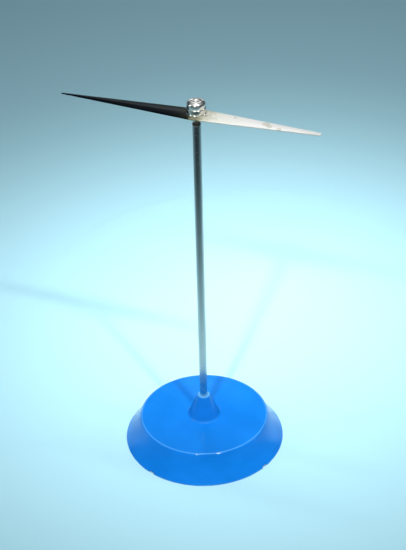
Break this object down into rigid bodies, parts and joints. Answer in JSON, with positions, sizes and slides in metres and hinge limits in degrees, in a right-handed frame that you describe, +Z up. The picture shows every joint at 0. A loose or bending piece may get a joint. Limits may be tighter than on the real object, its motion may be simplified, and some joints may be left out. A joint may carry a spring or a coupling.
{
  "type": "demonstration compass needle on stand",
  "caption": "Lozenge-shaped magnetic needle that turns on a steel point at the top of a plated stem, with a round flared plastic foot.",
  "frame": {"origin": "on the stem's axis, in the plane that the foot rests on", "axes": "+Z up the stem; +X towards the blunt, bright south end of the needle at rest; +Y across the needle, level"},
  "size_m": [0.155, 0.1, 0.2366],
  "materials": {
    "foot_plastic": "glossy injection-moulded, bright blue",
    "stem_plating": "drawn steel rod with bright nickel plating",
    "zinc_steel": "zinc-plated steel",
    "black_seat": "black oxide, satin",
    "pin_steel": "hardened steel, ground point",
    "needle_steel": "sheet steel, bright on the south half and dark blued on the north half, with straw and brown tints at the hub",
    "cap_plating": "turned brass with mirror nickel plating",
    "hub_brass": "turned brass, unplated",
    "jewel": "polished agate"
  },
  "bodies": {
    "stand": {"base_shell": "foot_plastic", "stem": "stem_plating", "stem_washer": "zinc_steel", "stem_nut": "zinc_steel", "pivot_seat": "black_seat"},
    "point": {"pivot_pin": "pin_steel"},
    "needle": {"needle_blade": "needle_steel", "hub_cap": "cap_plating", "hub_washer": "hub_brass", "jewel_cup": "jewel", "jewel_bezel": "hub_brass"}
  },
  "joints": [
    {"name": "needle_spin", "type": "hinge", "parent": "stand", "child": "point", "pos_m": [0, 0, 0.2226], "axis": [0, 0, 1], "continuous": true},
    {"name": "needle_dip", "type": "hinge", "parent": "point", "child": "needle", "pos_m": [0, 0, 0.2333], "axis": [0, 1, 0], "range_deg": [-10, 10]}
  ]
}
